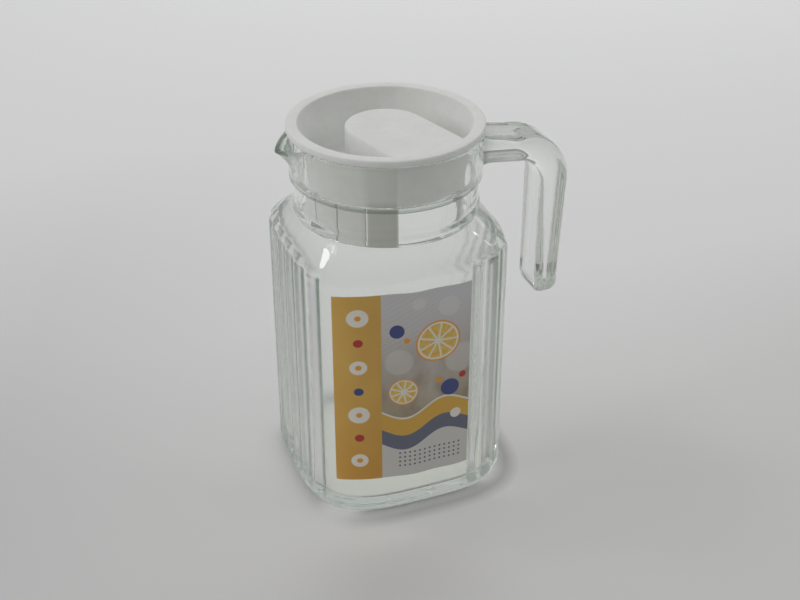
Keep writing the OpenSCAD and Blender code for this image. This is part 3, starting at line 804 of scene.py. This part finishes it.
def print_surface():
    """The label's front: a warm band with a row of dots beside a cool field with slices of fruit, a
    wave, slanting lines and small discs. It is drawn in millimetres from the lower left corner."""
    look = Surface("printed_paper")
    times, between, falling, mix = look.times, look.between, look.falling, look.mix
    uv = look.node("UVMap", uv_map="print").outputs[0]
    u, v, _ = look.split(uv)
    wide, high = 60.5, 98.2
    x, y = times(u, wide), times(v, high)
    cream, amber, orange = (0.74, 0.72, 0.64), (0.62, 0.36, 0.045), (0.72, 0.30, 0.02)
    blue, red, brown = (0.035, 0.055, 0.20), (0.42, 0.02, 0.02), (0.20, 0.13, 0.07)

    def inside(value, low, high, soft=0.12):
        """1 where value lies between low and high, with edges twice soft millimetres wide."""
        return times(between(value, low - soft, low + soft),
                     falling(value, high - soft, high + soft))

    def cloudy(under, colour, scale, detail, low, high):
        """under, with up to half of colour in soft clouds."""
        share = between(look.noise(uv, scale, detail), low, high, 0.0, 0.5)
        return mix(share, under, colour)

    def disc(under, cx, cy, radius, colour, strength=1.0, soft=0.15):
        """under, with a disc of that radius round cx, cy."""
        distance = look.far(look.minus(x, cx), look.minus(y, cy))
        return mix(falling(distance, radius - soft, radius + soft, strength), under, colour)

    def slice_of_fruit(under, cx, cy, radius, segments=9):
        """under, with a disc of peel, a paler one on it and the pulp: the part of the disc that is
        further than a skin's width from the rays between the segments."""
        dx, dy = look.minus(x, cx), look.minus(y, cy)
        distance = look.far(dx, dy)
        turn = 2 * math.pi
        share = times(look.maths("ARCTAN2", dy, dx), segments / turn)
        from_skin = times(times(look.maths("PINGPONG", share, 0.5), turn / segments), distance)
        under = disc(under, cx, cy, radius, orange)
        under = disc(under, cx, cy, radius * 0.92, cream)
        cloud = between(look.noise(uv, 45.0), 0.35, 0.65)
        pulp = mix(cloud, (0.66, 0.40, 0.05), (0.74, 0.52, 0.12))
        ring = inside(distance, radius * 0.12, radius * 0.83)
        return mix(times(between(from_skin, 0.25, 0.6), ring), under, pulp)

    # Cool field over a browner middle, with brown blotches, slanting lines and soft light spots
    field = mix(between(y, 34.0, 92.0), (0.34, 0.27, 0.16), (0.56, 0.56, 0.59))
    field = cloudy(field, (0.56, 0.54, 0.50), 3.0, 4.0, 0.35, 0.7)
    blotches = between(look.noise(uv, 6.0, 3.0), 0.42, 0.66)
    field = mix(times(blotches, falling(y, 46.0, 78.0, 0.6)), field, brown)
    slant = look.plus(times(x, -0.55), y)
    lines = inside(look.maths("FRACT", times(slant, 0.4)), 0.0, 0.16, 0.05)
    field = mix(times(lines, between(slant, 48.0, 62.0, 0.0, 0.5)), field, (0.66, 0.65, 0.62))
    for cx, cy, radius, strength in (
            (50, 88, 5.0, 0.35), (27, 63, 6.5, 0.3), (56, 60, 7.5, 0.3), (36, 92, 3.0, 0.4)):
        field = disc(field, cx, cy, radius, (0.72, 0.71, 0.68), strength, 0.4)

    # Wave low in the field: everything below a level that swings with the sine of x, in steps from
    # a pale line through amber and a dark colour to grey
    level = look.minus(y, times(look.maths("SINE", times(x, 0.16)), 4.0))
    field = mix(falling(level, 35.8, 36.1), field, amber)
    field = mix(inside(level, 36.0, 37.0), field, cream)
    field = mix(falling(level, 26.8, 27.1), field, (0.12, 0.13, 0.18))
    field = mix(falling(level, 18.8, 19.1), field, (0.58, 0.57, 0.54))

    field = slice_of_fruit(field, 45, 71, 10.5)
    field = slice_of_fruit(field, 29, 47, 7.0)
    for cx, cy, radius, colour in (
            (51, 45, 4.4, blue), (57, 50.5, 1.7, red), (45.5, 50, 1.5, orange),
            (26, 79, 3.4, blue), (30.5, 74, 1.4, orange), (54, 30, 2.6, cream)):
        field = disc(field, cx, cy, radius, colour)

    # Patch of dots, one in each cell of a grid
    cell = [look.minus(look.maths("FRACT", times(way, 0.42)), 0.5) for way in (x, y)]
    dot = look.plus(times(cell[0], cell[0]), times(cell[1], cell[1]))
    patch = times(inside(x, 25.5, 57.3), inside(y, 4.8, 14.2))
    field = mix(times(falling(dot, 0.035, 0.06), patch), field, (0.10, 0.10, 0.13))

    # Warm band down the left with a row of discs
    band = mix(between(y, 0.0, high), (0.58, 0.29, 0.035), (0.60, 0.36, 0.07))
    band = cloudy(band, (0.70, 0.47, 0.12), 2.2, 2.0, 0.4, 0.7)
    band_middle, first, apart = 9.4, 11, 12.7
    row = ((3.6, cream), (2.0, red), (4.4, cream), (2.0, blue), (3.6, cream), (2.0, red),
           (4.4, cream))
    for k, (radius, colour) in enumerate(row):
        band = disc(band, band_middle, first + apart * k, radius, colour)
    for cy in (11, 36.4, 61.8, 87.2):
        band = disc(band, band_middle, cy, 1.3, orange)
    look.give("Base Color", mix(between(x, 18.9, 19.2), band, field))
    look.give("Roughness", 0.38)
    look.give("Coat Weight", 0.25)
    look.give("Coat Roughness", 0.2)
    look.bump(look.noise(look.place(), 120.0, 3.0), 0.12 * MM)
    return look.material


def paper_surface():
    """The back and the cut edges of the label: plain paper, a little cloudy from the glue on it."""
    look = Surface("label_paper")
    cloud = look.between(look.noise(look.place(), 90.0, 4.0), 0.3, 0.7)
    look.give("Base Color", look.mix(cloud, (0.60, 0.60, 0.58), (0.70, 0.70, 0.68)))
    look.give("Roughness", 0.7)
    return look.material


def floor_surface():
    """Pale floor, with painted shade that makes it darker towards the camera and to the left. Under
    the foot, where the glass gathers light, it is painted paler, and a painted soft shadow lies
    beside the foot, away from the lamps."""
    look = Surface("pale_floor")
    look.give("Roughness", 0.65)
    x, y, _ = look.split(look.place())
    # Painted shade: the floor is darker towards the camera and to the left
    pale = look.mix(look.between(y, -0.10, 0.13), (0.625, 0.623, 0.612), (0.735, 0.735, 0.74))
    right = look.plus(look.times(x, math.cos(CAMERA_TURN)), look.times(y, -math.sin(CAMERA_TURN)))
    left_shade = look.times(look.falling(right, -0.2, -0.03), look.falling(y, 0.0, 0.4))
    pale = look.mix(left_shade, pale, (0.575, 0.569, 0.573))

    # Half width of the body's outline that runs through each place: |x|^n + |y|^n = foot^n
    powers = [look.maths("POWER", look.maths("ABSOLUTE", way), SQUARENESS) for way in (x, y)]
    foot = look.maths("POWER", look.plus(*powers), 1 / SQUARENESS)
    # Painted light: the floor is paler under the foot, where the glass gathers light
    pale = look.mix(look.falling(foot, 40 * MM, 47 * MM), pale, (0.74, 0.735, 0.72))
    # Painted soft shadow beside the foot, on the side away from the lamps
    beside, peak, gone = 48.5 * MM, 53.5 * MM, 60 * MM
    painted_shadow = look.times(look.between(foot, beside, peak), look.falling(foot, peak, gone))
    away_side = look.minus(look.times(x, 0.6), look.times(y, 0.8))
    painted_shadow = look.times(painted_shadow, look.between(away_side, 5 * MM, 40 * MM, 0.0, 0.34))
    look.give("Base Color", look.mix(painted_shadow, pale, (0, 0, 0)))
    return look.material


def make_room():
    """Plain room: the world's grey grows with the height of a direction, measured along upward."""
    world = bpy.data.worlds.new("room")
    bpy.context.scene.world = world
    world.use_nodes = True
    tree = world.node_tree
    background = tree.nodes["Background"]
    background.inputs["Strength"].default_value = 0.48
    where = tree.nodes.new("ShaderNodeTexCoord")
    upward = tree.nodes.new("ShaderNodeVectorMath")
    upward.operation = "DOT_PRODUCT"
    upward.inputs[1].default_value = (-0.12, 0.2, 1.0)
    ramp = tree.nodes.new("ShaderNodeMapRange")
    for socket, number in zip(ramp.inputs[1:5], (-0.15, 0.55, 0.30, 0.98)):
        socket.default_value = number
    tree.links.new(where.outputs["Generated"], upward.inputs[0])
    tree.links.new(upward.outputs["Value"], ramp.inputs[0])
    tree.links.new(ramp.outputs[0], background.inputs[0])


def make_stage():
    """Pale seamless floor, a window high on the left, a far small lamp, soft light from above, the
    sides and behind, and a plain room round it. Of the lamps, only those marked to show are seen in
    the glass."""
    size, below = 4.0, -0.04 * MM
    corners = [(x * size, y * size, below) for x, y in ((-1, -1), (1, -1), (1, 1), (-1, 1))]
    floor = add_mesh("floor", corners, [[0, 1, 2, 3]])
    floor.data.materials.append(floor_surface())
    make_room()
    for name, place, aim, wide, high, power, shows in (
            ("window_lamp", (-0.80, 0.61, 1.39), (0, 0, 0.1), 0.15, 0.24, 0.9, True),
            ("far_lamp", (1.30, 0.33, 1.03), (0, 0, 0.1), 0.05, 0.06, 0.09, True),
            ("soft_lamp", (-0.82, 0.40, 1.45), (0, 0, 0.08), 0.4, 0.4, 1.6, False),
            ("left_lamp", (-3.0, 0.0, 1.3), (0, 0, 0.1), 1.5, 1.2, 21, False),
            ("right_lamp", (2.4, -0.9, 1.5), (0, 0, 0.1), 1.4, 1.4, 9.2, False),
            ("back_lamp", (0.65, 1.25, 0.85), (0.1, 0.25, 0), 1.4, 0.8, 7.4, False)):
        lamp = bpy.data.lights.new(name, "AREA")
        lamp.shape = "RECTANGLE"
        lamp.size, lamp.size_y, lamp.energy = wide, high, power
        body = bpy.data.objects.new(name, lamp)
        body.location = place
        body.rotation_mode = "QUATERNION"
        body.rotation_quaternion = (Vector(aim) - Vector(place)).to_track_quat("-Z", "Y")
        body.visible_glossy = body.visible_transmission = shows
        bpy.context.scene.collection.objects.link(body)


def make_camera():
    """Camera at the photograph's viewing angle, height and lens: its place beside and behind the
    jug's base is turned by the view's heading."""
    data = bpy.data.cameras.new("camera")
    data.lens = CAMERA_LENS
    data.sensor_width = 36.0
    camera = bpy.data.objects.new("camera", data)
    cos, sin = math.cos(CAMERA_TURN), math.sin(CAMERA_TURN)
    camera.location = (CAMERA_SIDE * cos - CAMERA_BACK * sin,
                       -CAMERA_SIDE * sin - CAMERA_BACK * cos, CAMERA_HEIGHT)
    camera.rotation_euler = (math.pi / 2 - CAMERA_TILT, 0, -CAMERA_TURN)
    bpy.context.scene.collection.objects.link(camera)
    bpy.context.scene.camera = camera


def dress(piece, *materials):
    """Gives a piece these materials and no others."""
    piece.data.materials.clear()
    for material in materials:
        piece.data.materials.append(material)


make_camera()
make_stage()

jug = make_jug_glass()
combine(jug, make_handle_glass(), "UNION")
shade(jug, 40)
dress(jug, glass_surface())
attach(jug, "jug")
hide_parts("jug_base", "jug_walls", "jug_shoulder", "jug_neck", "jug_collar", "jug_spout",
            "jug_handle")

label = make_label()
label.data.materials.append(print_surface())
label.data.materials.append(paper_surface())
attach(label, "jug")
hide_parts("label")

lid = make_lid()
dress(lid, lid_surface())
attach(lid, "lid")
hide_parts("lid_rim", "lid_bowl", "lid_grip", "lid_strainer")

scene = bpy.context.scene
scene.view_settings.view_transform = "Standard"
cycles = scene.cycles
bounces = 64
cycles.transmission_bounces = cycles.transparent_max_bounces = bounces
cycles.max_bounces = cycles.glossy_bounces = bounces
cycles.caustics_refractive = cycles.caustics_reflective = False
